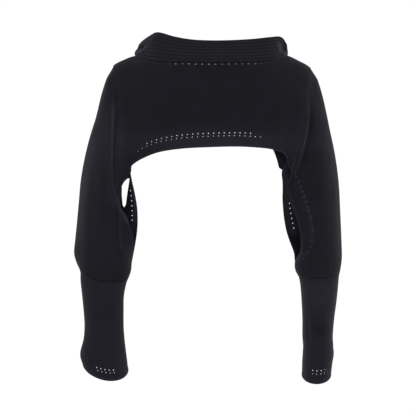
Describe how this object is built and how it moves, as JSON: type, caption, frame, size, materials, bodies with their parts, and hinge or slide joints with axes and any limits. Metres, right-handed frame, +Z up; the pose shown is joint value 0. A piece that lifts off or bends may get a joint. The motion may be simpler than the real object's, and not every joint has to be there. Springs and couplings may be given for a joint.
{
  "type": "cropped pullover, filled out as worn",
  "caption": "Cropped dark knitted pullover with a wide ribbed standing collar, full open-sided sleeves and long fitted cuffs, hollow as when worn.",
  "frame": {"origin": "The level of the shoulders on the middle of the body, where the wearer's shoulders hold the garment up.", "axes": "+Z up, +Y to the wearer's front, +X to the wearer's right, so the back faces -Y."},
  "size_m": [0.5356, 0.2134, 0.6978],
  "materials": {
    "fine_knit": "fine plain knit, matt, with a soft nap",
    "cuff_knit": "fine close knit with level courses, matt",
    "ribbed_knit": "doubled knit band with level ribs, matt"
  },
  "bodies": {
    "root": {"back": "fine_knit", "front": "fine_knit", "sleeve_left": "fine_knit", "sleeve_right": "fine_knit", "cuff_left": "cuff_knit", "cuff_right": "cuff_knit", "collar": "ribbed_knit"}
  },
  "joints": []
}
